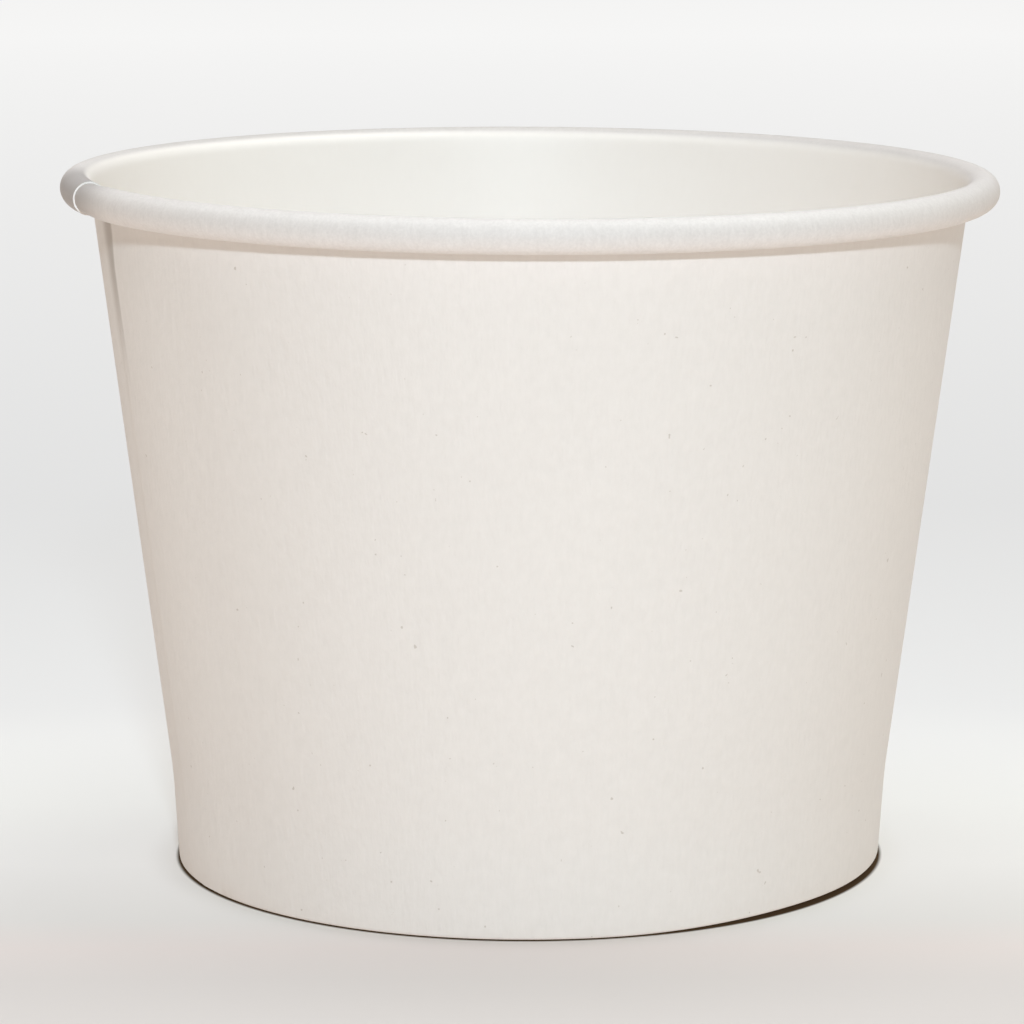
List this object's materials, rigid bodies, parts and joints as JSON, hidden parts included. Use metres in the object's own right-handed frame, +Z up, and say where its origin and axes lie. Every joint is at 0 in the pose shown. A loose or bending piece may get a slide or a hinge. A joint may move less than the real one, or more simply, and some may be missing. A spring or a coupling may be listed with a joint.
{
  "type": "paper sundae cup",
  "caption": "Short round paper dessert cup with a conical coated-board wall, rolled rim, lapped side seam and a recessed base disc sealed into a folded hem.",
  "frame": {"origin": "centre of the foot ring, on the table", "axes": "+Z up along the cup's axis, -Y towards the picture's camera, side seam near -X"},
  "size_m": [0.098, 0.098, 0.073],
  "materials": {
    "wall_board": "uncoated-looking warm white cup board outside, thin polyethylene film inside and over the rolled rim",
    "base_board": "white cup board with a thin polyethylene film on the inside"
  },
  "bodies": {
    "root": {"side_wall": "wall_board", "base_disc": "base_board"}
  },
  "joints": []
}
